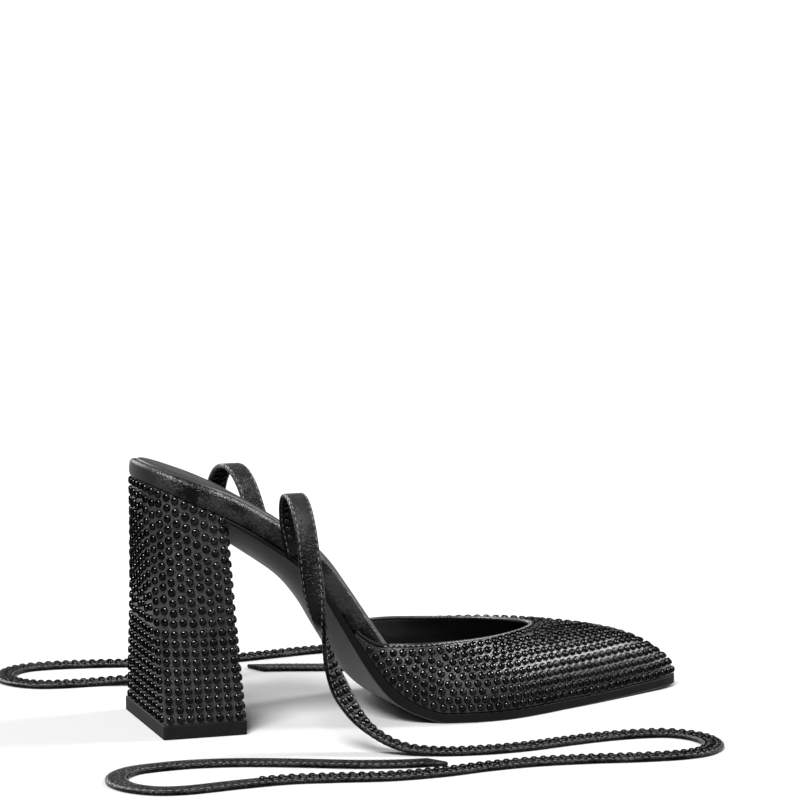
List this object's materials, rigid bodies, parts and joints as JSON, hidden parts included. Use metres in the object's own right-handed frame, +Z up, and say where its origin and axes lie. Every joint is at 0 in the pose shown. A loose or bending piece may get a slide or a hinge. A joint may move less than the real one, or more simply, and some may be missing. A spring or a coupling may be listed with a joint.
{
  "type": "ankle tie block heel shoe",
  "caption": "Closed pointed-toe, open-back high shoe on a flared block heel, covered in small dark stones, with long ankle ties.",
  "frame": {"origin": "on the floor, at the middle of the shoe's own box without its two ties", "axes": "+X to the toe, +Y to the inner side of the foot, +Z up, the shoe standing on its heel and forefoot"},
  "size_m": [0.2766, 0.2482, 0.1067],
  "materials": {
    "sole_leather": "smooth painted, satin",
    "stoned_fabric": "dark cloth set with glossy black stones",
    "lift_rubber": "matt",
    "wrap_leather": "crinkled, metallic sheen",
    "sock_leather": "smooth, satin",
    "binding_leather": "narrow rolled edge, satin",
    "tie_leather": "crinkled, metallic sheen"
  },
  "bodies": {
    "root": {"outsole": "sole_leather", "heel_block": "stoned_fabric", "heel_lift": "lift_rubber", "footbed": "wrap_leather", "sock_lining": "sock_leather", "vamp": "stoned_fabric", "topline_piping": "binding_leather", "outer_tie": "tie_leather", "inner_tie": "tie_leather"}
  },
  "joints": []
}
